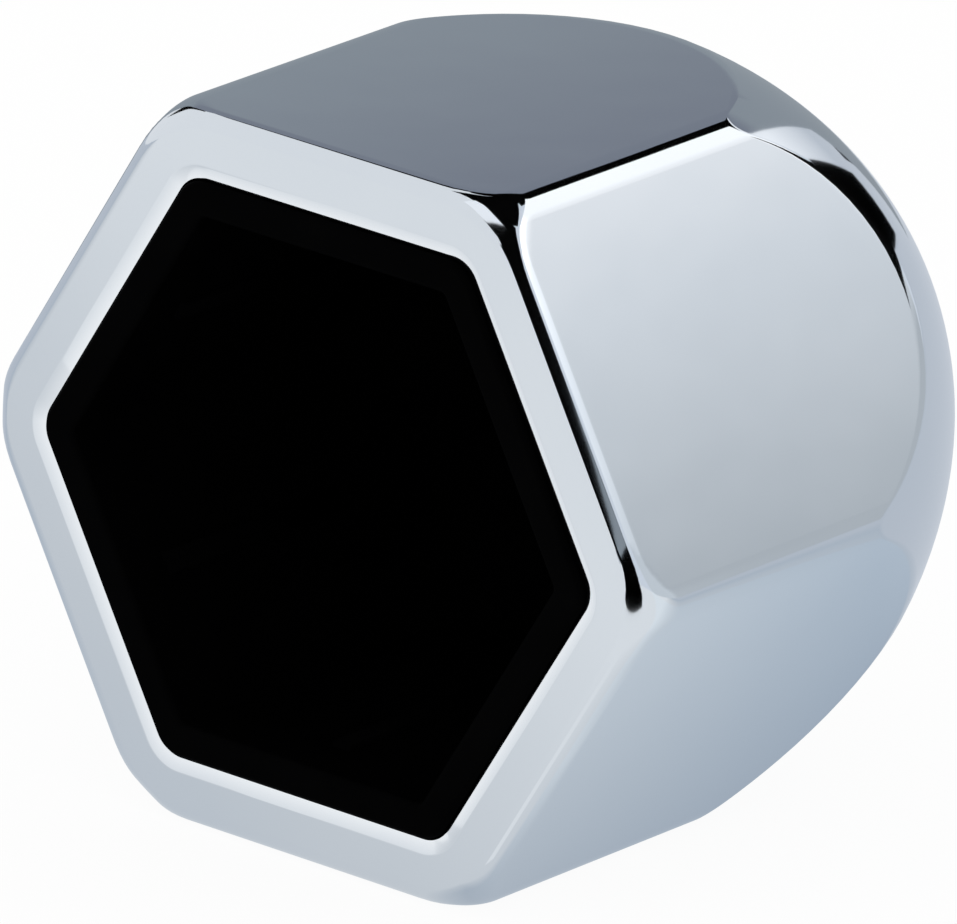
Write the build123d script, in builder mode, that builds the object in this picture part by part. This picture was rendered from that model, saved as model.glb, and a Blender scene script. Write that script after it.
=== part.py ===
from build123d import *

import os
from math import cos, radians, sin

# Driving sizes, in millimetres
# What goes in: the wheel nut's hexagon, measured across its flats, and the room around it
nut_across_flats = 17.0
nut_clearance = 0.1
# Walls, from the nut outwards
liner_wall = 1.15
glue_gap = 0.05
shell_wall = 2.2
# Lengths along the cap, from the plane of the rim
dome_start = 6.9
dome_reach = 18.9
# Roundings of the chrome-plated shell
ridge_radius = 1.3
dome_swell = 0.5
dome_edge_radius = 1.4
rim_edge_radius = 0.6
cavity_corner_radius = 1.1
# Rounding that takes off the six corners at the rim: part of an ellipse spun about the axis
corner_round_length = 2.4
corner_round_depth = 1.45
corner_round_swell = 0.15
corner_round_angle = 75
# Shallow bevel round the mouth, inside the rim
bevel_width = 0.48
bevel_depth = 0.12
# Cones that hollow the dome: where they meet, in degrees round its ellipse from the widest part
cone_angles = (0, 30, 55, 75)
# Lip of the liner
lip_proud = 0.1
lip_bevel = 0.2
socket_corner_radius = 0.3
# Grip ribs, one in the middle of each flat of the socket
rib_width = 0.8
rib_height = 0.15
rib_setback = 2.0
rib_length = 8.5

# Worked-out sizes
flats = 6
flat_to_corner = 1 / cos(radians(180 / flats))
socket_apothem = nut_across_flats / 2 + nut_clearance
liner_apothem = socket_apothem + liner_wall
cavity_apothem = liner_apothem + glue_gap
outer_apothem = cavity_apothem + shell_wall
crest_radius = outer_apothem * flat_to_corner - ridge_radius * (flat_to_corner - 1)
dome_radius = crest_radius + dome_swell
corner_round_radius = crest_radius + corner_round_swell
overall_length = lip_proud + dome_start + dome_reach

# The cap lies on one flat, its mouth towards -Y and its dome towards +Y
axis_height = outer_apothem
rim_y = lip_proud - overall_length / 2
lip_y = rim_y - lip_proud
dome_y = rim_y + dome_start
tip_y = dome_y + dome_reach
corner_round_y = rim_y + corner_round_length * sin(radians(corner_round_angle))
cap_axis = Axis((0, 0, axis_height), (0, 1, 0))


def cross_plane(y):
    """Plane square to the cap's axis, looking into the dome."""
    return Plane(origin=(0, y, axis_height), x_dir=(1, 0, 0), z_dir=(0, 1, 0))


def hexagon_prism(apothem, corner_radius, front_y):
    """Hexagonal prism with rounded ridges, as long as the whole cap."""
    with BuildPart() as prism:
        with BuildSketch(cross_plane(front_y)) as outline:
            RegularPolygon(apothem, flats, major_radius=False)
            fillet(outline.vertices(), corner_radius)
        extrude(amount=overall_length)
    return prism.part


def hollow_form(apothem, corner_radius, front_y):
    """Hexagonal prism whose far end narrows in cones that follow the dome at an even distance."""
    inset = outer_apothem - apothem
    profile = [(front_y, axis_height), (front_y, axis_height + dome_radius - inset)]
    for angle in map(radians, cone_angles):
        y = dome_y + (dome_reach - inset) * sin(angle)
        profile.append((y, axis_height + (dome_radius - inset) * cos(angle)))
    profile.append((y, axis_height))
    with BuildPart() as form:
        add(hexagon_prism(apothem, corner_radius, front_y))
        with BuildSketch(Plane.YZ):
            with BuildLine():
                Polyline(*profile, close=True)
            make_face()
        revolve(axis=cap_axis, mode=Mode.INTERSECT)
    return form.part


cavity_form = hollow_form(cavity_apothem, cavity_corner_radius, rim_y)
liner_form = hollow_form(liner_apothem, cavity_corner_radius, lip_y)
socket_form = hollow_form(socket_apothem, socket_corner_radius, lip_y)

# Chrome-plated shell: six flats that die into an ellipsoidal dome, rounded corners and a bevelled mouth
with BuildPart() as shell:
    add(hexagon_prism(outer_apothem, ridge_radius, rim_y))
    with BuildSketch(Plane.YZ):
        with BuildLine():
            Polyline((tip_y, axis_height), (rim_y, axis_height),
                     (rim_y, axis_height + dome_radius), (dome_y, axis_height + dome_radius))
            EllipticalCenterArc((dome_y, axis_height), dome_reach, dome_radius, start_angle=0, arc_size=90)
        make_face()
    revolve(axis=cap_axis, mode=Mode.INTERSECT)
    dome = shell.faces().sort_by(Axis.Y)[-1]
    fillet(dome.edges(), dome_edge_radius)
    fillet(shell.faces().sort_by(Axis.Y)[0].edges(), rim_edge_radius)
    with BuildSketch(Plane.YZ):
        with BuildLine():
            round_end = EllipticalCenterArc((corner_round_y, axis_height + corner_round_radius - corner_round_depth),
                                            corner_round_length, corner_round_depth,
                                            start_angle=90, arc_size=corner_round_angle)
            Polyline(round_end @ 1, (rim_y, axis_height), (tip_y, axis_height),
                     (tip_y, axis_height + corner_round_radius), round_end @ 0)
        make_face()
    revolve(axis=cap_axis, mode=Mode.INTERSECT)
    add(cavity_form, mode=Mode.SUBTRACT)
    rim = shell.faces().sort_by(Axis.Y)[0]
    chamfer(rim.inner_wires()[0].edges(), bevel_width, bevel_depth, reference=rim)

# Black liner: a cup that follows the shell's cavity, with a bevelled lip and grip ribs on the flats
with BuildPart() as liner:
    add(liner_form)
    add(socket_form, mode=Mode.SUBTRACT)
    lip = liner.faces().sort_by(Axis.Y)[0]
    chamfer(lip.edges(), lip_bevel)
    with BuildSketch(cross_plane(rim_y + rib_setback)):
        with PolarLocations(socket_apothem - rib_height / 2, flats, start_angle=180 / flats):
            Rectangle(rib_height, rib_width)
    extrude(amount=rib_length)

os.makedirs("parts", exist_ok=True)
shell.part.label = "chrome_shell"
export_step(shell.part, "parts/chrome_shell.step")
liner.part.label = "grip_liner"
export_step(liner.part, "parts/grip_liner.step")
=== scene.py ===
from collections import namedtuple
from math import atan2, cos, hypot, pi, radians, sin, sqrt, tan

import bmesh
import bpy
from bpy.props import FloatProperty, FloatVectorProperty, IntProperty, PointerProperty
from mathutils import Matrix, Vector


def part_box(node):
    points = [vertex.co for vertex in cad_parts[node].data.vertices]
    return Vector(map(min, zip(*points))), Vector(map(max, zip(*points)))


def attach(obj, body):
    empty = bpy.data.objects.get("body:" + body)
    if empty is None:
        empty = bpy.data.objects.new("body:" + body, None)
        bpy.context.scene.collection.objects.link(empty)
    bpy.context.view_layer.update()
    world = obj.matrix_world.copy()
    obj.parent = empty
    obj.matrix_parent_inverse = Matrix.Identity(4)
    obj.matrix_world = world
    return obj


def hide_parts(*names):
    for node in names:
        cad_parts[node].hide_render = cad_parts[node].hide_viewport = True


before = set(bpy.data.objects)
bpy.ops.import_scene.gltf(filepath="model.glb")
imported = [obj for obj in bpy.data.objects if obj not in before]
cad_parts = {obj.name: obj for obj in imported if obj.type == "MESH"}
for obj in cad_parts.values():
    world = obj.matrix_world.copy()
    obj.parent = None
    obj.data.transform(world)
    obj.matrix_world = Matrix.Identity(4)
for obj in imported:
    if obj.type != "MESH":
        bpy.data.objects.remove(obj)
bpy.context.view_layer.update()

bl_info = {
    "name": "Wheel nut cover cap",
    "version": (1, 0, 0),
    "blender": (4, 5, 0),
    "location": "View3D > Sidebar > Nut cap",
    "description": "Chrome-plated hexagonal wheel nut cap with a domed end and a black grip liner",
    "category": "Add Mesh",
}

# What the packed solids give: the cap lies on one flat, with its mouth towards -Y
shell_low, shell_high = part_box("chrome_shell")
liner_low, liner_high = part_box("grip_liner")
FLATS = 6
HALF_SECTOR = pi / FLATS
AXIS_HEIGHT = (shell_low.z + shell_high.z) / 2
RIM_Y = shell_low.y
TIP_Y = shell_high.y
LIP_Y = liner_low.y
MM = 0.001

# Ends of the hollows: where their cones meet, in degrees round the dome's ellipse from its widest part,
# then the rows to each cone and along the straight walls
CONE_TURNS = (0, 30, 55, 75)
CONE_ROWS = 6
WALL_ROWS = 4
# Fine steps of the rim's line to each row of a rounded edge, and steps in the search for the dome's edge
FINE_STEPS = 4
SEARCH_STEPS = 48
# Lengths that count as nothing, in metres
MERGE_DISTANCE = 1e-7
LEAST_SOFTENING = 1e-9
# Share of the bevel's painted highlight, a brighter tint, over its four rows, from the mouth outwards
BEVEL_HIGHLIGHT_SHARES = (1.0, 1.0, 0.2, 0.2)

# Columns over half a flat of the socket: over the rib, as shares of its half width, then beside it, as the
# first and last share of the half flat and the steps between them, then close to the corner
RIB_COLUMNS = (0.0, 0.6, 0.92, 1.0, 1.08)
BESIDE_RIB = (0.2, 0.9, 6)
NEAR_CORNER = (0.97, 1.0)
# Share of a rib's half width that is raised, and how steep its two ends are
RIB_TOP = 0.99
RIB_END_STEEPNESS = 3.0

# What moulding leaves in a surface: slow waves and fine grains, each a count to the metre, and the strength
# and height in millimetres of the relief
Moulding = namedtuple("Moulding", "waves grains relief height")
CHROME_MOULDING = Moulding(waves=160.0, grains=900.0, relief=0.05, height=0.4)
BLACK_MOULDING = Moulding(waves=500.0, grains=9000.0, relief=0.15, height=0.02)
WAVE_NOISE = {"Detail": 2.0, "Roughness": 0.45}
GRAIN_NOISE = {"Detail": 3.0, "Roughness": 0.6}
# Range of the waves over which the tint changes, and how far they change the gloss
CLOUD_LOW = 0.3
CLOUD_HIGH = 0.7
CHROME_GLOSS_SPREAD = 0.25
BLACK_MATT_SPREAD = 0.05


def length(name, description, millimetres):
    """A size that the sidebar shows as a length."""
    return FloatProperty(name=name, description=description, default=millimetres * MM,
                         unit="LENGTH", subtype="DISTANCE", precision=5)


def angle(name, description, degrees):
    """A direction or turn that the sidebar shows in degrees."""
    return FloatProperty(name=name, description=description, default=radians(degrees),
                         unit="ROTATION", subtype="ANGLE")


def share(name, description, default):
    """A plain factor or strength."""
    return FloatProperty(name=name, description=description, default=default, min=0.0, subtype="FACTOR")


def colour(name, description, default):
    """A scene-linear colour."""
    return FloatVectorProperty(name=name, description=description, default=default,
                               size=3, min=0.0, soft_max=1.0, subtype="COLOR")


class ShellSizes(bpy.types.PropertyGroup):
    """Sizes of the chrome-plated shell."""
    apothem: FloatProperty(name="Apothem", description="Half the width across the outer flats",
                           default=(shell_high.z - shell_low.z) / 2, unit="LENGTH", subtype="DISTANCE")
    ridge_radius: length("Ridge radius", "Rounding of the six long ridges", 1.3)
    rim_radius: length("Rim radius", "Rounding between the flats and the rim", 0.6)
    dome_start: length("Dome start", "Distance from the rim to the widest part of the dome's ellipse", 6.9)
    dome_swell: length("Dome swell", "How far the ellipse is wider than the ridges", 0.5)
    dome_edge: length("Dome edge", "Rounding where a flat dies into the dome", 1.4)
    wall: length("Wall", "Thickness of the shell", 2.2)
    cavity_corner: length("Cavity corner", "Rounding of the cavity's corners", 1.1)
    corner_length: length("Corner length", "Length of the rounding that takes off the rim's corners", 2.4)
    corner_depth: length("Corner depth", "Depth of the rounding that takes off the rim's corners", 1.45)
    corner_swell: length("Corner swell", "How far that rounding ends outside the ridges", 0.15)
    corner_angle: angle("Corner angle", "How far round its quarter turn that rounding goes", 75)
    corner_soften: length("Corner soften", "How softly that rounding runs out into the flats", 0.35)
    bevel_width: length("Bevel width", "Width of the bevel round the mouth", 0.48)
    bevel_depth: length("Bevel depth", "Depth of the bevel round the mouth", 0.12)
    edge_hold: length("Edge hold", "How closely the mesh holds a crisp edge", 0.03)


class LinerSizes(bpy.types.PropertyGroup):
    """Sizes of the black liner."""
    apothem: FloatProperty(name="Apothem", description="Half the width across the liner's outer flats",
                           default=(liner_high.z - liner_low.z) / 2, unit="LENGTH", subtype="DISTANCE")
    wall: length("Wall", "Thickness of the liner", 1.15)
    lip_radius: length("Lip radius", "Rounding of the lip's two edges", 0.2)
    socket_corner: length("Socket corner", "Rounding of the socket's corners", 0.3)
    rib_width: length("Rib width", "Width of a grip rib", 0.8)
    rib_height: length("Rib height", "Height of a grip rib", 0.15)
    rib_setback: length("Rib setback", "Distance from the rim to the start of the ribs", 2.0)
    rib_length: length("Rib length", "Length of a grip rib", 8.5)


class MeshSteps(bpy.types.PropertyGroup):
    """How finely the two meshes follow their curves."""
    flat: IntProperty(name="Flat", description="Columns across half a flat", default=14, min=4)
    ridge: IntProperty(name="Ridge", description="Columns round a ridge", default=16, min=4)
    rim: IntProperty(name="Rim", description="Rows round the rim's edge and corners", default=26, min=8)
    side: IntProperty(name="Side", description="Rows along the flats", default=22, min=4)
    fillet: IntProperty(name="Fillet", description="Rows round a rounded edge", default=8, min=3)
    dome: IntProperty(name="Dome", description="Rows over the dome", default=40, min=8)


class Finishes(bpy.types.PropertyGroup):
    """Colours and gloss of the two materials."""
    chrome: colour("Chrome", "Tint of the plating", (0.70, 0.735, 0.775))
    chrome_shade: colour("Chrome shade", "Tint of the plating's faint clouds", (0.685, 0.722, 0.765))
    # Painted highlight: a brighter plating tint on the bevel round the mouth
    chrome_bevel_highlight: colour("Chrome bevel", "Tint of the brighter bevel round the mouth", (0.86, 0.88, 0.905))
    chrome_roughness: share("Chrome roughness", "How blurred the plating's reflections are", 0.06)
    black: colour("Black", "Colour of the liner", (0.0006, 0.0006, 0.0007))
    black_shade: colour("Black shade", "Colour of the liner's paler mottling", (0.0009, 0.0009, 0.0010))
    black_roughness: share("Black roughness", "How matt the liner is", 0.62)
    black_gloss: share("Black gloss", "How much light the liner's skin reflects", 0.006)


class StageSettings(bpy.types.PropertyGroup):
    """Camera, floor and light."""
    azimuth: angle("Azimuth", "Camera's turn from the mouth's side towards +X", 38.462)
    elevation: angle("Elevation", "Camera's height above the horizon", 20.051)
    roll: angle("Roll", "Camera's tilt about its own line of sight", 2.629)
    distance: length("Distance", "From the middle of the rim to the camera", 692.8)
    aim_right: length("Aim right", "How far the camera aims to the right of the rim's middle", 5.29)
    aim_up: length("Aim up", "How far the camera aims above the rim's middle", 1.532)
    lens: FloatProperty(name="Lens", description="Focal length in millimetres", default=822.0, min=1.0,
                        unit="CAMERA")
    floor: colour("Floor", "Colour of the floor", (0.92, 0.92, 0.92))
    floor_glow: share("Floor glow", "How far the floor is lifted to white for the camera", 0.94)
    # The mirrored floor is painted: its darker colours near, beside, behind and under the cap are painted
    # shade of the cap
    floor_front: colour("Floor front", "Mirrored floor well in front of the mouth, and pale cards",
                        (0.94, 0.96, 0.975))
    floor_rim: colour("Floor rim", "Mirrored floor just in front of the rim", (0.73, 0.76, 0.79))
    floor_side: colour("Floor side", "Mirrored floor beside the cap", (0.55, 0.61, 0.68))
    floor_back: colour("Floor back", "Mirrored floor behind the cap, and the dim end of the strip card",
                       (0.605, 0.65, 0.715))
    floor_under: colour("Floor under", "Share of the mirrored floor left under the lower flat",
                        (0.70, 0.745, 0.80))
    floor_beside: colour("Floor beside", "Share of the mirrored floor left beside the cap",
                         (1.0, 1.03, 1.05))
    studio_front: colour("Studio front", "Mirrored studio, in front on the left", (0.93, 0.95, 0.97))
    studio_back: colour("Studio back", "Mirrored studio, behind the cap", (0.80, 0.85, 0.92))
    bright_low: colour("Bright low", "Lower part of the soft light that the right-hand flat mirrors",
                       (0.55, 0.585, 0.617))
    bright_middle: colour("Bright middle", "Middle of that soft light", (0.87, 0.90, 0.93))
    bright_high: colour("Bright high", "Upper part of that soft light", (1.15, 1.15, 1.155))
    bright_top: colour("Bright top", "Top of that soft light", (1.35, 1.35, 1.35))
    grey_pale: colour("Grey pale", "Lower part of the card that the upper flat mirrors",
                      (0.305, 0.342, 0.378))
    grey_dark: colour("Grey dark", "Upper part of that card", (0.235, 0.258, 0.308))
    black: colour("Black", "Cards that the rounded edges mirror", (0.0, 0.0, 0.0))
    white: colour("White", "Cards that show as bright wedges, and the bright end of the strip card",
                  (1.1, 1.12, 1.15))


# How the floor and the cards are shaded for the plating: a slope across the plate, and the colours at
# distances along it from the plate's origin, in millimetres
Shade = namedtuple("Shade", "slope stops")
SHADES = {
    # Mirrored floor: painted shade, darker towards the cap and behind it, pale well in front of the mouth
    "floor": Shade((0.6, -1.0, 0.0), (("floor_back", -15.0), ("floor_side", -4.0),
                                      ("floor_rim", 15.0), ("floor_front", 34.0))),
    "bright_card": Shade((0.4, 1.0, 0.0), (("bright_low", -8.0), ("bright_middle", 4.0),
                                           ("bright_high", 12.0), ("bright_top", 40.0))),
    "grey_card": Shade((-0.27, 1.0, 0.0), (("grey_pale", 27.0), ("grey_dark", 34.0))),
    "black_card": Shade((0.0, 1.0, 0.0), (("black", 0.0), ("black", 1.0))),
    "white_card": Shade((0.0, 1.0, 0.0), (("white", 0.0), ("white", 1.0))),
    "pale_card": Shade((0.0, 1.0, 0.0), (("floor_front", 0.0), ("floor_front", 1.0))),
    "strip_card": Shade((0.0, 1.0, 0.0), (("floor_back", -12.0), ("white", 14.0))),
}
# The side of the studio that is brightest, as a turn and a height in degrees, and the cosines of the angles
# from it at which the brightness starts and is full
STUDIO_BRIGHT = (-60.0, 20.0)
STUDIO_FADE = (0.15, 0.6)
# Mirrored floor beside the cap on the +X side, in millimetres from the cap's middle: where its shade starts
# and ends, the share of the way at which it is darkest, and where it fades out past the cap's two ends
OVERHANG_START = 5.0
OVERHANG_END = 13.0
OVERHANG_DARKEST = 0.2
PAST_END_START = 12.8
PAST_END_END = 13.8
# Lift of the soft light towards the side that only the rounded front edge mirrors, in millimetres across it
LIFT_START = -16.0
LIFT_END = -45.0
LIFT = 1.3
WHITE = (1.0, 1.0, 1.0)
# Sensor in millimetres, floor and camera range in metres
SENSOR_WIDTH = 36.0
FLOOR_SIZE = 6.0
CLIP_START = 0.01
CLIP_END = 20.0

# Cards that only the plating mirrors. They face the middle of the cap: turn from the mouth's side towards
# +X, rise and tilt in degrees, then distance, width, height and shifts right and up in millimetres
Card = namedtuple("Card", "name shade turn rise tilt distance width height right up")
CARDS = (
    Card("upper_flat_card", "grey_card", -131.0, 8.0, 0.0, 75.0, 84.0, 110.0, -4.0, 17.0),
    Card("dome_grey_card", "grey_card", 201.7, 14.5, 30.7, 100.0, 28.0, 81.0, 0.0, 0.0),
    Card("dome_line_card", "black_card", 193.5, 10.2, 30.7, 95.0, 4.0, 62.0, 0.0, 0.0),
    Card("dome_strip_card", "strip_card", 189.8, 14.8, 30.7, 92.0, 8.0, 46.0, 0.0, 0.0),
    Card("dome_edge_card", "black_card", 170.0, 15.0, -24.0, 140.0, 150.0, 34.0, 0.0, 0.0),
    Card("behind_white_card", "white_card", 182.0, 28.5, 0.0, 230.0, 95.0, 36.0, -15.0, 0.0),
    Card("ridge_card", "black_card", 193.0, 51.0, 0.0, 220.0, 164.0, 140.0, 5.0, 0.0),
    Card("right_flat_card", "bright_card", 140.4, 19.8, 0.0, 150.0, 266.0, 180.0, -57.0, 25.0),
    Card("front_edge_card", "black_card", 35.5, 28.5, 0.0, 160.0, 150.0, 230.0, 0.0, 20.0),
    Card("front_edge_end_card", "black_card", 6.5, 14.0, 0.0, 160.0, 27.0, 84.0, 6.5, -2.0),
    Card("front_wedge_card", "white_card", 7.3, 57.2, 59.0, 150.0, 53.0, 57.0, -8.5, 16.5),
    Card("front_grey_card", "grey_card", 35.0, 15.2, 26.5, 150.0, 200.0, 7.0, -23.0, 0.0),
    Card("mouth_card", "pale_card", 0.0, 0.0, -60.0, 20.0, 15.2, 10.4, 0.0, -7.2),
    Card("lower_edge_card", "pale_card", 22.0, -12.2, 62.4, 18.9, 13.0, 1.0, -1.8, -5.2),
    Card("overhead_card", "black_card", 50.0, 90.0, 0.0, 200.0, 170.0, 170.0, 0.0, 0.0),
    Card("top_edge_card", "black_card", -123.0, 45.0, 0.0, 200.0, 45.0, 70.0, 0.0, 0.0),
    Card("left_corner_card", "black_card", -105.0, 30.0, 0.0, 200.0, 28.0, 100.0, 0.0, 0.0),
    Card("right_corner_card", "black_card", 37.0, -4.5, 0.0, 51.0, 34.0, 17.0, 0.0, 0.0),
)


def along(start, end, steps):
    """Numbers from start to end, evenly spaced."""
    return [start + (end - start) * i / steps for i in range(steps + 1)]


def eased(steps):
    """Numbers from 0 to 1, crowded at both ends."""
    return [(1 - cos(pi * i / steps)) / 2 for i in range(steps + 1)]


def spread(line, count):
    """The same line of places in evenly spaced steps. A place lies across the cap and along its axis."""
    reach = [0.0]
    for (across, y), (next_across, next_y) in zip(line, line[1:]):
        reach.append(reach[-1] + hypot((next_across - across).length, next_y - y))
    steps = []
    number = 0
    for distance in along(0.0, reach[-1], count):
        while number < len(line) - 2 and reach[number + 1] < distance:
            number += 1
        part = (distance - reach[number]) / (reach[number + 1] - reach[number])
        (across, y), (next_across, next_y) = line[number], line[number + 1]
        steps.append((across.lerp(next_across, part), y + (next_y - y) * part))
    return steps


class HexagonColumns:
    """Columns of vertices round a hexagon with rounded corners.
    Each keeps its share of a flat or its turn round a corner, whatever the hexagon's size."""

    def __init__(self, flat_shares, ridge_steps):
        corner = along(-HALF_SECTOR, HALF_SECTOR, ridge_steps)[1:-1]
        self.columns = []
        for sector in range(FLATS):
            heading = (2 * sector + 1) * HALF_SECTOR
            self.columns += [(heading, share_of_flat, None) for share_of_flat in flat_shares]
            self.columns += [(heading + HALF_SECTOR, None, turn) for turn in corner]

    def __len__(self):
        return len(self.columns)

    def point(self, column, apothem, corner_radius):
        """Place of one column in the cross-section: across the cap, and up from its axis."""
        heading, share_of_flat, turn = self.columns[column]
        inner = apothem - corner_radius
        if turn is None:
            offset = share_of_flat * inner * tan(HALF_SECTOR)
            return Vector((apothem * cos(heading) - offset * sin(heading),
                           apothem * sin(heading) + offset * cos(heading)))
        reach = inner / cos(HALF_SECTOR)
        return Vector((reach * cos(heading) + corner_radius * cos(heading + turn),
                       reach * sin(heading) + corner_radius * sin(heading + turn)))


def skin(name, columns, rows, bevel_highlight_shares=None):
    """Mesh made by extruding a ring from row to row, closed to a point at both ends.
    The attribute "bevel" holds each row's share of the bevel's painted highlight, a brighter tint."""
    bevel_highlight_shares = bevel_highlight_shares or {}
    bm = bmesh.new()
    column_of = bm.verts.layers.int.new("column")
    # Mask of the bevel's painted highlight
    bevel = bm.verts.layers.float.new("bevel")
    ring = bmesh.ops.create_circle(bm, segments=len(columns), radius=1.0)["verts"]
    for i, vert in enumerate(ring):
        vert[column_of] = i
    edges = list(bm.edges)
    for number, row in enumerate(rows):
        if number > 0:
            grown = bmesh.ops.extrude_edge_only(bm, edges=edges)["geom"]
            edges = [e for e in grown if isinstance(e, bmesh.types.BMEdge)]
            ring = [v for v in grown if isinstance(v, bmesh.types.BMVert)]
        for vert in ring:
            across, y = row(vert[column_of])
            vert.co = (across.x, y, AXIS_HEIGHT + across.y)
            vert[bevel] = bevel_highlight_shares.get(number, 0.0)
    bmesh.ops.remove_doubles(bm, verts=bm.verts, dist=MERGE_DISTANCE)
    bmesh.ops.recalc_face_normals(bm, faces=bm.faces)
    for face in bm.faces:
        face.smooth = True
    bm.verts.layers.int.remove(column_of)
    mesh = bpy.data.meshes.new(name)
    bm.to_mesh(mesh)
    bm.free()
    piece = bpy.data.objects.new(name, mesh)
    bpy.context.scene.collection.objects.link(piece)
    return piece


def crest_radius(shell):
    """Distance from the cap's axis to the middle of a rounded ridge."""
    return shell.apothem / cos(HALF_SECTOR) - shell.ridge_radius * (1 / cos(HALF_SECTOR) - 1)


class Dome:
    """The ellipse that is spun about the cap's axis to make the dome."""

    def __init__(self, shell):
        self.start = RIM_Y + shell.dome_start
        self.reach = TIP_Y - self.start
        self.radius = crest_radius(shell) + shell.dome_swell
        self.edge = shell.dome_edge

    def normal(self, turn):
        """Outward direction of the ellipse, along the axis and away from it."""
        raw = Vector((sin(turn) / self.reach, cos(turn) / self.radius))
        return raw.normalized()

    def meeting(self, height):
        """Where a line at this height above the axis runs into the ellipse, with the edge rounded.
        Gives the rounding's middle along the axis and the ellipse's turn where the rounding ends."""
        low, high = 0.0, pi / 2
        for _ in range(SEARCH_STEPS):
            turn = (low + high) / 2
            gap = self.radius * cos(turn) - self.edge * self.normal(turn).y - (height - self.edge)
            low, high = (turn, high) if gap > 0 else (low, turn)
        return self.start + self.reach * sin(turn) - self.edge * self.normal(turn).x, turn


def hollow_rows(columns, apothem, corner_radius, front_y, dome, inset):
    """Rows of a hexagonal hollow from its deepest point to its mouth. Its end narrows in cones."""
    breaks = []
    for turn in map(radians, CONE_TURNS):
        breaks.append((dome.start + (dome.reach - inset) * sin(turn), (dome.radius - inset) * cos(turn)))
    rows = [lambda column: (Vector((0.0, 0.0)), breaks[-1][0])]
    stations = []
    for (near_y, near_radius), (far_y, far_radius) in reversed(list(zip(breaks, breaks[1:]))):
        for s in along(1.0, 0.0, CONE_ROWS)[:-1]:
            stations.append((near_y + (far_y - near_y) * s, near_radius + (far_radius - near_radius) * s))
    stations += [(y, breaks[0][1]) for y in along(breaks[0][0], front_y, WALL_ROWS)]

    def row(y, limit):
        def place(column):
            across = columns.point(column, apothem, corner_radius)
            if across.length > limit:
                across = across.normalized() * limit
            return across, y
        return place

    return rows + [row(y, limit) for y, limit in stations]


def level_row(columns, apothem, corner_radius, y):
    """A row that lies square to the axis."""
    return lambda column: (columns.point(column, apothem, corner_radius), y)


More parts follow.
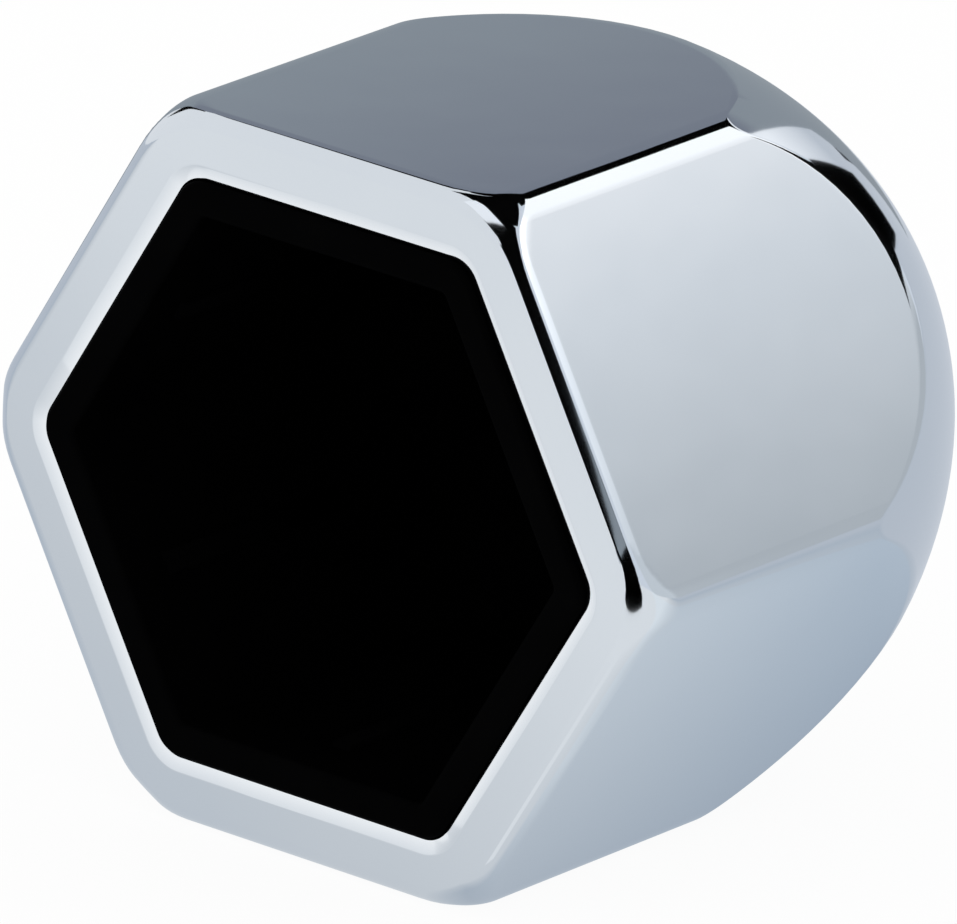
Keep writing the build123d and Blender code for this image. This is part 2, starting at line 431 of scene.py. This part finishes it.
class CAP_OT_chrome_shell(bpy.types.Operator):
    """Make the chrome-plated shell: six flats that die into a dome, a rounded rim and a bevelled mouth"""
    bl_idname = "nutcap.chrome_shell"
    bl_label = "Chrome shell"

    def execute(self, context):
        sizes = context.scene.nutcap_shell
        steps = context.scene.nutcap_steps
        flat_shares = [sin(pi / 2 * s) for s in along(-1.0, 1.0, 2 * steps.flat)]
        columns = HexagonColumns(flat_shares, steps.ridge)
        dome = Dome(sizes)
        rows = self.cavity(columns, dome, sizes)
        bevel_highlight_shares = {len(rows) + i: bright for i, bright in enumerate(BEVEL_HIGHLIGHT_SHARES)}
        rows += self.mouth(columns, sizes)
        rows += self.rim_edge(columns, sizes, steps)
        rows += self.outside(columns, dome, sizes, steps)
        piece = skin("chrome_shell_skin", columns, rows, bevel_highlight_shares)
        piece.data.materials.append(chrome_plating(context.scene.nutcap_finishes))
        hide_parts("chrome_shell")
        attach(piece, "root")
        return {"FINISHED"}

    def cavity(self, columns, dome, sizes):
        """Rows from the cavity's end to its bevel."""
        apothem = sizes.apothem - sizes.wall
        mouth_y = RIM_Y + sizes.bevel_depth + sizes.edge_hold
        return hollow_rows(columns, apothem, sizes.cavity_corner, mouth_y, dome, sizes.wall)

    def mouth(self, columns, sizes):
        """Rows over the bevel to the rim's flat face."""
        inner = sizes.apothem - sizes.wall
        outer = inner + sizes.bevel_width
        hold = sizes.edge_hold
        slope = sizes.bevel_depth / sizes.bevel_width
        grow = sizes.cavity_corner - inner
        profile = [(inner, RIM_Y + sizes.bevel_depth),
                   (inner + hold, RIM_Y + sizes.bevel_depth - hold * slope),
                   (outer - hold, RIM_Y + hold * slope),
                   (outer, RIM_Y),
                   (outer + hold, RIM_Y)]
        return [level_row(columns, apothem, apothem + grow, y) for apothem, y in profile]

    def rim_edge(self, columns, sizes, steps):
        """Rows from the rim's flat face round its edge and its rounded corners to the sides."""
        lines = [spread(self.edge_line(columns, column, sizes, steps), steps.rim)
                 for column in range(len(columns))]
        inset = 1 - sizes.edge_hold / sizes.apothem

        def on_face(column):
            across, y = lines[column][0]
            return across * inset, y

        def on_edge(number):
            return lambda column: lines[column][number]

        return [on_face] + [on_edge(number) for number in range(steps.rim + 1)]

    def edge_line(self, columns, column, sizes, steps):
        """Finely stepped line of one column round the rim's edge, inside the rounding of the corners."""
        ridge = sizes.ridge_radius - sizes.apothem
        fine_steps = FINE_STEPS * steps.fillet
        line = []
        for turn in along(0.0, pi / 2, fine_steps):
            apothem = sizes.apothem - sizes.rim_radius * (1 - sin(turn))
            y = RIM_Y + sizes.rim_radius * (1 - cos(turn))
            line.append((columns.point(column, apothem, apothem + ridge), y))
        for y in along(line[-1][1], RIM_Y + sizes.corner_length, fine_steps)[1:]:
            line.append((line[-1][0], y))
        return [(self.corner_rounded(across, y, sizes), y) for across, y in line]

    def corner_rounded(self, across, y, sizes):
        """A place across the cap, brought inside the rounding that takes off the rim's corners.
        A smooth minimum of its own radius and the rounding's blends the two."""
        end_y = RIM_Y + sizes.corner_length * sin(sizes.corner_angle)
        ahead = max(end_y - y, 0.0) / sizes.corner_length
        taken = sizes.corner_depth * (1 - sqrt(1 - ahead * ahead))
        limit = crest_radius(sizes) + sizes.corner_swell - taken
        soften = sizes.corner_soften * ahead + LEAST_SOFTENING
        near = max(soften - abs(across.length - limit), 0.0) / soften
        return across.normalized() * (min(across.length, limit) - near * near * soften / 4)

    def outside(self, columns, dome, sizes, steps):
        """Rows along the flats, round the edge of the dome and over it to its tip."""
        ring = [columns.point(i, sizes.apothem, sizes.ridge_radius) for i in range(len(columns))]
        meetings = [dome.meeting(across.length) for across in ring]
        body_y = RIM_Y + sizes.corner_length

        def side(s):
            return lambda i: (ring[i], body_y + (meetings[i][0] - body_y) * s)

        def edge(s):
            def place(i):
                middle_y, turn = meetings[i]
                out = dome.normal(turn)
                bend = atan2(out.x, out.y) * s
                radius = ring[i].length - dome.edge + dome.edge * cos(bend)
                return ring[i].normalized() * radius, middle_y + dome.edge * sin(bend)
            return place

        def cap(s):
            def place(i):
                turn = meetings[i][1] + (pi / 2 - meetings[i][1]) * s
                return ring[i].normalized() * dome.radius * cos(turn), dome.start + dome.reach * sin(turn)
            return place

        rows = [side(s) for s in eased(steps.side)[1:]]
        rows += [edge(s) for s in along(0.0, 1.0, steps.fillet)[1:]]
        rows += [cap(1 - cos(pi / 2 * s)) for s in along(0.0, 1.0, steps.dome)[1:-1]]
        rows.append(lambda i: (Vector((0.0, 0.0)), TIP_Y))
        return rows


class CAP_OT_grip_liner(bpy.types.Operator):
    """Make the black liner: a cup with a rounded lip, a hexagonal socket and a grip rib on each flat"""
    bl_idname = "nutcap.grip_liner"
    bl_label = "Grip liner"

    def execute(self, context):
        sizes = context.scene.nutcap_liner
        shell = context.scene.nutcap_shell
        steps = context.scene.nutcap_steps
        dome = Dome(shell)
        socket = sizes.apothem - sizes.wall
        rib_foot = sizes.rib_width / 2 / ((socket - sizes.socket_corner) * tan(HALF_SECTOR))
        half = [rib_foot * s for s in RIB_COLUMNS] + along(*BESIDE_RIB) + list(NEAR_CORNER)
        flat_shares = [-s for s in reversed(half[1:])] + half
        columns = HexagonColumns(flat_shares, steps.ridge)
        inset = shell.apothem - sizes.apothem
        lip_y = LIP_Y + sizes.lip_radius
        rows = hollow_rows(columns, sizes.apothem, shell.cavity_corner, lip_y, dome, inset)
        rows += self.lip(columns, sizes, shell, steps)
        rows += self.socket(columns, sizes, dome, inset + sizes.wall, rib_foot)
        piece = skin("grip_liner_skin", columns, rows)
        piece.data.materials.append(black_liner(context.scene.nutcap_finishes))
        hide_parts("grip_liner")
        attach(piece, "root")
        return {"FINISHED"}

    def lip(self, columns, sizes, shell, steps):
        """Rows round the lip's outer edge, over its face and round its inner edge."""
        socket = sizes.apothem - sizes.wall
        outer, inner = [], []
        for turn in along(0.0, pi / 2, steps.fillet):
            step_in = sizes.lip_radius * (1 - cos(turn))
            y = LIP_Y + sizes.lip_radius * (1 - sin(turn))
            outer.append(level_row(columns, sizes.apothem - step_in, shell.cavity_corner - step_in, y))
            inner.append(level_row(columns, socket + step_in, sizes.socket_corner + step_in, y))
        return outer[1:] + list(reversed(inner))

    def socket(self, columns, sizes, dome, inset, rib_foot):
        """Rows down the socket's walls and ribs to its closed end."""
        apothem = sizes.apothem - sizes.wall
        lip_y = LIP_Y + sizes.lip_radius
        rows = hollow_rows(columns, apothem, sizes.socket_corner, lip_y, dome, inset)
        rows.reverse()
        start = RIM_Y + sizes.rib_setback
        end = start + sizes.rib_length
        slant = sizes.rib_height / RIB_END_STEEPNESS

        def ribbed(y, rise):
            def place(column):
                heading, share_of_flat, turn = columns.columns[column]
                on_rib = turn is None and abs(share_of_flat) < rib_foot * RIB_TOP
                across = columns.point(column, apothem, sizes.socket_corner)
                if on_rib:
                    across -= Vector((cos(heading), sin(heading))) * sizes.rib_height * rise
                return across, y
            return place

        ribs = [ribbed(start, 0.0), ribbed(start + slant, 1.0), ribbed(end - slant, 1.0), ribbed(end, 0.0)]
        before = [row for row in rows if row(0)[1] < start - slant]
        after = [row for row in rows if row(0)[1] > end + slant]
        # The first row is where the lip already ends
        return before[1:] + ribs + after


def node(tree, kind, settings=(), **inputs):
    """A shader node with some settings and input values."""
    made = tree.nodes.new(kind)
    for name, value in dict(settings).items():
        setattr(made, name, value)
    for name, value in inputs.items():
        made.inputs[name.replace("_", " ")].default_value = value
    return made


def moulded_surface():
    """Node group: the slow waves and the fine grain that moulding leaves in a surface."""
    name = "moulded_surface"
    if name in bpy.data.node_groups:
        return bpy.data.node_groups[name]
    tree = bpy.data.node_groups.new(name, "ShaderNodeTree")
    tree.interface.new_socket("Wave scale", in_out="INPUT", socket_type="NodeSocketFloat")
    tree.interface.new_socket("Grain scale", in_out="INPUT", socket_type="NodeSocketFloat")
    tree.interface.new_socket("Cloud", in_out="OUTPUT", socket_type="NodeSocketFloat")
    tree.interface.new_socket("Grain", in_out="OUTPUT", socket_type="NodeSocketFloat")
    start = tree.nodes.new("NodeGroupInput")
    end = tree.nodes.new("NodeGroupOutput")
    place = tree.nodes.new("ShaderNodeTexCoord")
    cloud = node(tree, "ShaderNodeTexNoise", **WAVE_NOISE)
    grain = node(tree, "ShaderNodeTexNoise", **GRAIN_NOISE)
    for texture, scale, output in ((cloud, "Wave scale", "Cloud"), (grain, "Grain scale", "Grain")):
        tree.links.new(place.outputs["Object"], texture.inputs["Vector"])
        tree.links.new(start.outputs[scale], texture.inputs["Scale"])
        tree.links.new(texture.outputs["Fac"], end.inputs[output])
    return tree


def moulded_material(name, moulding):
    """A material with a Principled BSDF and the moulded surface's masks, ready to be joined up."""
    material = bpy.data.materials.new(name)
    material.use_nodes = True
    tree = material.node_tree
    shader = tree.nodes["Principled BSDF"]
    surface = tree.nodes.new("ShaderNodeGroup")
    surface.node_tree = moulded_surface()
    surface.inputs["Wave scale"].default_value = moulding.waves
    surface.inputs["Grain scale"].default_value = moulding.grains
    return material, tree, shader, surface


def blend(tree, factor, first, second):
    """Mixed colour of two colours or colour sockets."""
    mix = tree.nodes.new("ShaderNodeMix")
    mix.data_type = "RGBA"
    sockets = {socket.identifier: socket for socket in mix.inputs}
    for name, value in (("Factor_Float", factor), ("A_Color", first), ("B_Color", second)):
        if isinstance(value, bpy.types.NodeSocket):
            tree.links.new(value, sockets[name])
        else:
            sockets[name].default_value = (*value, 1.0)
    return next(socket for socket in mix.outputs if socket.identifier == "Result_Color")


def ramp(tree, factor, stops):
    """Colour that runs through stops, each a place from 0 to 1 and a colour."""
    made = tree.nodes.new("ShaderNodeValToRGB")
    elements = made.color_ramp.elements
    while len(elements) < len(stops):
        elements.new(1.0)
    for element, (place, shade) in zip(elements, stops):
        element.position = place
        element.color = (*shade, 1.0)
    tree.links.new(factor, made.inputs["Fac"])
    return made.outputs["Color"]


def mapped(tree, value, start, end, to_start=0.0, to_end=1.0, kind="LINEAR"):
    """A value carried from one range to another."""
    made = node(tree, "ShaderNodeMapRange", {"interpolation_type": kind})
    for name, number in (("From Min", start), ("From Max", end), ("To Min", to_start), ("To Max", to_end)):
        made.inputs[name].default_value = number
    tree.links.new(value, made.inputs["Value"])
    return made.outputs["Result"]


def graded(tree, shade, settings):
    """Colour that runs along a slope across a plate of the stage."""
    place = tree.nodes.new("ShaderNodeTexCoord")
    ahead = node(tree, "ShaderNodeVectorMath", {"operation": "DOT_PRODUCT"})
    ahead.inputs[1].default_value = shade.slope
    tree.links.new(place.outputs["Object"], ahead.inputs[0])
    first, last = shade.stops[0][1], shade.stops[-1][1]
    share_along = mapped(tree, ahead.outputs["Value"], first * MM, last * MM)
    stops = [((at - first) / (last - first), getattr(settings, name)) for name, at in shade.stops]
    return ramp(tree, share_along, stops)


def relief(tree, height, shader, moulding):
    """Let a height raise the surface a little."""
    bump = node(tree, "ShaderNodeBump", Strength=moulding.relief, Distance=moulding.height * MM)
    tree.links.new(height, bump.inputs["Height"])
    tree.links.new(bump.outputs["Normal"], shader.inputs["Normal"])


def chrome_plating(finishes):
    """Bright plating over moulded plastic: faint clouds in its tint and gloss, a trace of waviness, and a
    painted highlight: a brighter tint on the bevel round the mouth."""
    material, tree, shader, surface = moulded_material("chrome_plating_finish", CHROME_MOULDING)
    shader.inputs["Metallic"].default_value = 1.0
    cloud = surface.outputs["Cloud"]
    tint = ramp(tree, cloud, ((CLOUD_LOW, finishes.chrome_shade), (CLOUD_HIGH, finishes.chrome)))
    # Painted highlight: the "bevel" attribute mixes a brighter tint into the bevel
    bevel = node(tree, "ShaderNodeAttribute", {"attribute_name": "bevel"})
    tinted = blend(tree, bevel.outputs["Fac"], tint, finishes.chrome_bevel_highlight)
    tree.links.new(tinted, shader.inputs["Base Color"])
    sharpest = finishes.chrome_roughness * (1 - CHROME_GLOSS_SPREAD)
    dullest = finishes.chrome_roughness * (1 + CHROME_GLOSS_SPREAD)
    tree.links.new(mapped(tree, cloud, 0.0, 1.0, sharpest, dullest), shader.inputs["Roughness"])
    relief(tree, cloud, shader, CHROME_MOULDING)
    return material


def black_liner(finishes):
    """Matt black plastic with a fine moulded grain."""
    material, tree, shader, surface = moulded_material("black_liner_finish", BLACK_MOULDING)
    shader.inputs["Specular IOR Level"].default_value = finishes.black_gloss
    cloud = surface.outputs["Cloud"]
    tint = ramp(tree, cloud, ((CLOUD_LOW, finishes.black), (CLOUD_HIGH, finishes.black_shade)))
    tree.links.new(tint, shader.inputs["Base Color"])
    sharpest = finishes.black_roughness - BLACK_MATT_SPREAD
    dullest = finishes.black_roughness + BLACK_MATT_SPREAD
    tree.links.new(mapped(tree, cloud, 0.0, 1.0, sharpest, dullest), shader.inputs["Roughness"])
    relief(tree, surface.outputs["Grain"], shader, BLACK_MOULDING)
    return material


def facing(azimuth, elevation, roll=0.0):
    """Turn that points local Z to this side of the cap: azimuth 0 faces the mouth, 90 degrees faces +X."""
    return (Matrix.Rotation(azimuth, 4, "Z") @ Matrix.Rotation(pi / 2 - elevation, 4, "X")
            @ Matrix.Rotation(roll, 4, "Z"))


class CAP_OT_stage(bpy.types.Operator):
    """Set up the floor, the cards that the plating mirrors, the light and the camera"""
    bl_idname = "nutcap.stage"
    bl_label = "Stage"

    def execute(self, context):
        settings = context.scene.nutcap_stage
        context.scene.view_settings.view_transform = "Standard"
        self.camera(context, settings)
        self.world(context, settings)
        self.floor(context, settings)
        self.cards(context, settings)
        return {"FINISHED"}

    def camera(self, context, settings):
        """Camera with a long lens, at the photograph's viewing angle."""
        data = bpy.data.cameras.new("camera")
        data.lens = settings.lens
        data.sensor_width = SENSOR_WIDTH
        data.clip_start = CLIP_START
        data.clip_end = CLIP_END
        camera = bpy.data.objects.new("camera", data)
        context.scene.collection.objects.link(camera)
        turn = facing(settings.azimuth, settings.elevation, settings.roll)
        rim_middle = Vector((0.0, RIM_Y, AXIS_HEIGHT))
        offset = turn @ Vector((settings.aim_right, settings.aim_up, settings.distance))
        camera.matrix_world = Matrix.Translation(rim_middle + offset) @ turn
        context.scene.camera = camera

    def world(self, context, settings):
        """White for the camera and as light, and a studio that is brightest on one side for the plating."""
        world = bpy.data.worlds.new("studio")
        context.scene.world = world
        world.use_nodes = True
        tree = world.node_tree
        path = tree.nodes.new("ShaderNodeLightPath")
        place = tree.nodes.new("ShaderNodeTexCoord")
        turn, rise = map(radians, STUDIO_BRIGHT)
        side = node(tree, "ShaderNodeVectorMath", {"operation": "DOT_PRODUCT"})
        side.inputs[1].default_value = facing(turn, rise) @ Vector((0.0, 0.0, 1.0))
        tree.links.new(place.outputs["Generated"], side.inputs[0])
        nearness = mapped(tree, side.outputs["Value"], *STUDIO_FADE, kind="SMOOTHSTEP")
        studio = blend(tree, nearness, settings.studio_back, settings.studio_front)
        seen = blend(tree, path.outputs["Is Glossy Ray"], WHITE, studio)
        tree.links.new(seen, tree.nodes["Background"].inputs["Color"])

    def floor(self, context, settings):
        """Pale floor: nearly white to the camera, with the cap's soft shadow kept."""
        floor = self.plate(context, "floor", FLOOR_SIZE, FLOOR_SIZE)
        material = bpy.data.materials.new("floor")
        material.use_nodes = True
        tree = material.node_tree
        tree.nodes.clear()
        path = tree.nodes.new("ShaderNodeLightPath")
        mirrored = self.shaded_by_cap(tree, graded(tree, SHADES["floor"], settings), settings)
        lit = tree.nodes.new("ShaderNodeBsdfDiffuse")
        lit.inputs["Color"].default_value = (*settings.floor, 1.0)
        glow = tree.nodes.new("ShaderNodeEmission")
        glossy = path.outputs["Is Glossy Ray"]
        tree.links.new(blend(tree, glossy, WHITE, mirrored), glow.inputs["Color"])
        shown = node(tree, "ShaderNodeMath", {"operation": "MULTIPLY_ADD"})
        shown.inputs[1].default_value = settings.floor_glow
        tree.links.new(path.outputs["Is Camera Ray"], shown.inputs[0])
        tree.links.new(glossy, shown.inputs[2])
        both = tree.nodes.new("ShaderNodeMixShader")
        tree.links.new(shown.outputs["Value"], both.inputs["Fac"])
        tree.links.new(lit.outputs["BSDF"], both.inputs[1])
        tree.links.new(glow.outputs["Emission"], both.inputs[2])
        output = tree.nodes.new("ShaderNodeOutputMaterial")
        tree.links.new(both.outputs["Shader"], output.inputs["Surface"])
        floor.data.materials.append(material)

    def shaded_by_cap(self, tree, mirrored, settings):
        """Mirrored floor with painted shade, darker where the lower flat on the +X side overhangs it."""
        place = tree.nodes.new("ShaderNodeTexCoord")
        split = tree.nodes.new("ShaderNodeSeparateXYZ")
        tree.links.new(place.outputs["Object"], split.inputs["Vector"])
        aside = mapped(tree, split.outputs["X"], OVERHANG_START * MM, OVERHANG_END * MM)
        left = ramp(tree, aside, ((0.0, WHITE), (OVERHANG_DARKEST, settings.floor_under),
                                  (1.0, settings.floor_beside)))
        distance = node(tree, "ShaderNodeMath", {"operation": "ABSOLUTE"})
        tree.links.new(split.outputs["Y"], distance.inputs[0])
        alongside = mapped(tree, distance.outputs["Value"],
                           PAST_END_START * MM, PAST_END_END * MM, 1.0, 0.0)
        shaded = node(tree, "ShaderNodeVectorMath", {"operation": "MULTIPLY"})
        tree.links.new(mirrored, shaded.inputs[0])
        tree.links.new(blend(tree, alongside, WHITE, left), shaded.inputs[1])
        return shaded.outputs["Vector"]

    def cards(self, context, settings):
        """Cards that only mirror reflections see."""
        glows = {card.shade: self.glow(card.shade, settings) for card in CARDS}
        self.brighten_aside(glows["bright_card"].node_tree)
        for card in CARDS:
            piece = self.plate(context, card.name, card.width * MM, card.height * MM,
                               card.right * MM, card.up * MM)
            piece.data.materials.append(glows[card.shade])
            turn = facing(radians(card.turn), radians(card.rise), radians(card.tilt))
            middle = Vector((0.0, 0.0, AXIS_HEIGHT)) + turn @ Vector((0.0, 0.0, card.distance * MM))
            piece.matrix_world = Matrix.Translation(middle) @ turn
            piece.visible_camera = False
            piece.visible_diffuse = False
            piece.visible_transmission = False
            piece.visible_volume_scatter = False
            piece.visible_shadow = False

    def glow(self, name, settings):
        """Light whose colour is graded along a slope."""
        material = bpy.data.materials.new(name)
        material.use_nodes = True
        tree = material.node_tree
        tree.nodes.clear()
        light = tree.nodes.new("ShaderNodeEmission")
        tree.links.new(graded(tree, SHADES[name], settings), light.inputs["Color"])
        output = tree.nodes.new("ShaderNodeOutputMaterial")
        tree.links.new(light.outputs["Emission"], output.inputs["Surface"])
        return material

    def brighten_aside(self, tree):
        """Lift the soft light on the side that only the rounded front edge mirrors."""
        place = tree.nodes.new("ShaderNodeTexCoord")
        split = tree.nodes.new("ShaderNodeSeparateXYZ")
        tree.links.new(place.outputs["Object"], split.inputs["Vector"])
        lift = mapped(tree, split.outputs["X"], LIFT_START * MM, LIFT_END * MM, 1.0, LIFT, "SMOOTHSTEP")
        tree.links.new(lift, tree.nodes["Emission"].inputs["Strength"])

    def plate(self, context, name, width, height, right=0.0, up=0.0):
        """Flat rectangle of the stage, shifted from its origin."""
        bm = bmesh.new()
        bmesh.ops.create_grid(bm, x_segments=1, y_segments=1, size=0.5)
        bmesh.ops.scale(bm, vec=(width, height, 1.0), verts=bm.verts)
        bmesh.ops.translate(bm, vec=(right, up, 0.0), verts=bm.verts)
        mesh = bpy.data.meshes.new(name)
        bm.to_mesh(mesh)
        bm.free()
        piece = bpy.data.objects.new(name, mesh)
        context.scene.collection.objects.link(piece)
        return piece


class CAP_PT_sidebar(bpy.types.Panel):
    """Sizes, finishes and steps of the wheel nut cap"""
    bl_label = "Nut cap"
    bl_space_type = "VIEW_3D"
    bl_region_type = "UI"
    bl_category = "Nut cap"

    def draw(self, context):
        """List each group of settings, then the steps."""
        for name, group in GROUPS.items():
            box = self.layout.box()
            box.label(text=group.__doc__)
            settings = getattr(context.scene, name)
            for setting in settings.bl_rna.properties.keys():
                if setting not in ("rna_type", "name"):
                    box.prop(settings, setting)
        for operator in STEPS:
            self.layout.operator(operator.bl_idname)


GROUPS = {
    "nutcap_shell": ShellSizes,
    "nutcap_liner": LinerSizes,
    "nutcap_steps": MeshSteps,
    "nutcap_finishes": Finishes,
    "nutcap_stage": StageSettings,
}
STEPS = (CAP_OT_chrome_shell, CAP_OT_grip_liner, CAP_OT_stage)


def register():
    """Make the settings, the steps and the panel known to Blender."""
    for item in (*GROUPS.values(), *STEPS, CAP_PT_sidebar):
        bpy.utils.register_class(item)
    for name, group in GROUPS.items():
        setattr(bpy.types.Scene, name, PointerProperty(type=group))


def unregister():
    """Take them away again."""
    for name in GROUPS:
        delattr(bpy.types.Scene, name)
    for item in reversed((*GROUPS.values(), *STEPS, CAP_PT_sidebar)):
        bpy.utils.unregister_class(item)


def main():
    """Build the cap and its stage."""
    register()
    bpy.ops.nutcap.chrome_shell()
    bpy.ops.nutcap.grip_liner()
    bpy.ops.nutcap.stage()


if __name__ == "__main__":
    main()
